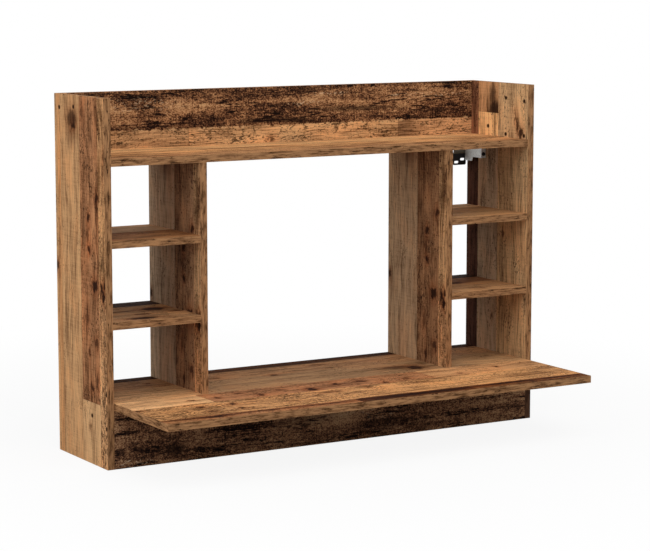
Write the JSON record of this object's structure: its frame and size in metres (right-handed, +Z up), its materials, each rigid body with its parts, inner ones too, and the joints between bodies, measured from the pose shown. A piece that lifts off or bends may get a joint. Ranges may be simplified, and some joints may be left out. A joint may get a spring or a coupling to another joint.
{
  "type": "wall-mounted desk",
  "caption": "Open wall-hung desk of plain boards: deep desk board, shelved bays at both ends, top shelf with back rail and low apron, hung on screw-adjusted cabinet hangers.",
  "frame": {"origin": "on the wall, midway between the two wall plates, level with their upper slots", "axes": "+X to the right along the desk, +Y out of the back into the wall, +Z up"},
  "size_m": [1.02, 0.465, 0.73],
  "materials": {
    "side_panel_board": "matt foil printed as old planks",
    "divider_board": "matt foil printed as old planks",
    "small_shelf_board": "matt foil printed as old planks",
    "top_shelf_board": "matt foil printed as old planks",
    "desk_top_board": "matt foil printed as old planks",
    "back_rail_board": "matt foil printed as old planks",
    "apron_board": "matt foil printed as old planks",
    "beech": "plain beech",
    "zinc_casting": "zinc die casting, dull",
    "zinc_steel": "bright zinc plate",
    "zinc_sheet": "zinc-plated sheet",
    "black_steel": "black, satin"
  },
  "bodies": {
    "desk": {"left_side_panel": "side_panel_board", "right_side_panel": "side_panel_board", "left_divider": "divider_board", "right_divider": "divider_board", "left_upper_shelf": "small_shelf_board", "right_upper_shelf": "small_shelf_board", "left_lower_shelf": "small_shelf_board", "right_lower_shelf": "small_shelf_board", "top_shelf": "top_shelf_board", "desk_board": "desk_top_board", "back_rail": "back_rail_board", "front_apron": "apron_board", "cam_locks": "zinc_casting", "cam_bolts": "zinc_steel", "wood_dowels": "beech", "divider_screws": "zinc_steel", "left_hanger_housing": "zinc_sheet", "left_hanger_pins": "zinc_steel", "right_hanger_housing": "zinc_sheet", "right_hanger_pins": "zinc_steel"},
    "left_carriage": {"left_hook_carriage": "zinc_casting"},
    "left_hook": {"left_wall_hook": "zinc_steel", "left_wall_plate": "black_steel"},
    "left_height_screw": {"left_height_screw": "zinc_steel"},
    "left_depth_screw": {"left_depth_screw": "zinc_steel"},
    "right_carriage": {"right_hook_carriage": "zinc_casting"},
    "right_hook": {"right_wall_hook": "zinc_steel", "right_wall_plate": "black_steel"},
    "right_height_screw": {"right_height_screw": "zinc_steel"},
    "right_depth_screw": {"right_depth_screw": "zinc_steel"}
  },
  "joints": [
    {"name": "left_depth_slide", "type": "slide", "parent": "desk", "child": "left_carriage", "axis": [0, 1, 0], "range_m": [0, 0.012]},
    {"name": "left_height_slide", "type": "slide", "parent": "left_carriage", "child": "left_hook", "axis": [0, 0, 1], "range_m": [-0.006, 0.006]},
    {"name": "left_depth_screw_turn", "type": "hinge", "parent": "desk", "child": "left_depth_screw", "pos_m": [-0.4876, -0.072, 0.016], "axis": [0, 1, 0], "range_deg": [-5406, 0]},
    {"name": "left_height_screw_turn", "type": "hinge", "parent": "left_carriage", "child": "left_height_screw", "pos_m": [-0.49025, -0.034, 0.0102], "axis": [0, 0, 1], "range_deg": [-3090, 3090]},
    {"name": "right_depth_slide", "type": "slide", "parent": "desk", "child": "right_carriage", "axis": [0, 1, 0], "range_m": [0, 0.012]},
    {"name": "right_height_slide", "type": "slide", "parent": "right_carriage", "child": "right_hook", "axis": [0, 0, 1], "range_m": [-0.006, 0.006]},
    {"name": "right_depth_screw_turn", "type": "hinge", "parent": "desk", "child": "right_depth_screw", "pos_m": [0.4876, -0.072, 0.016], "axis": [0, 1, 0], "range_deg": [-5406, 0]},
    {"name": "right_height_screw_turn", "type": "hinge", "parent": "right_carriage", "child": "right_height_screw", "pos_m": [0.49025, -0.034, 0.0102], "axis": [0, 0, 1], "range_deg": [-3090, 3090]}
  ],
  "couplings": [
    {"joint": "left_depth_screw_turn", "follows": "left_depth_slide", "rad_per_m": -7854},
    {"joint": "left_height_screw_turn", "follows": "left_height_slide", "rad_per_m": -8976},
    {"joint": "right_depth_screw_turn", "follows": "right_depth_slide", "rad_per_m": -7854},
    {"joint": "right_height_screw_turn", "follows": "right_height_slide", "rad_per_m": -8976}
  ]
}
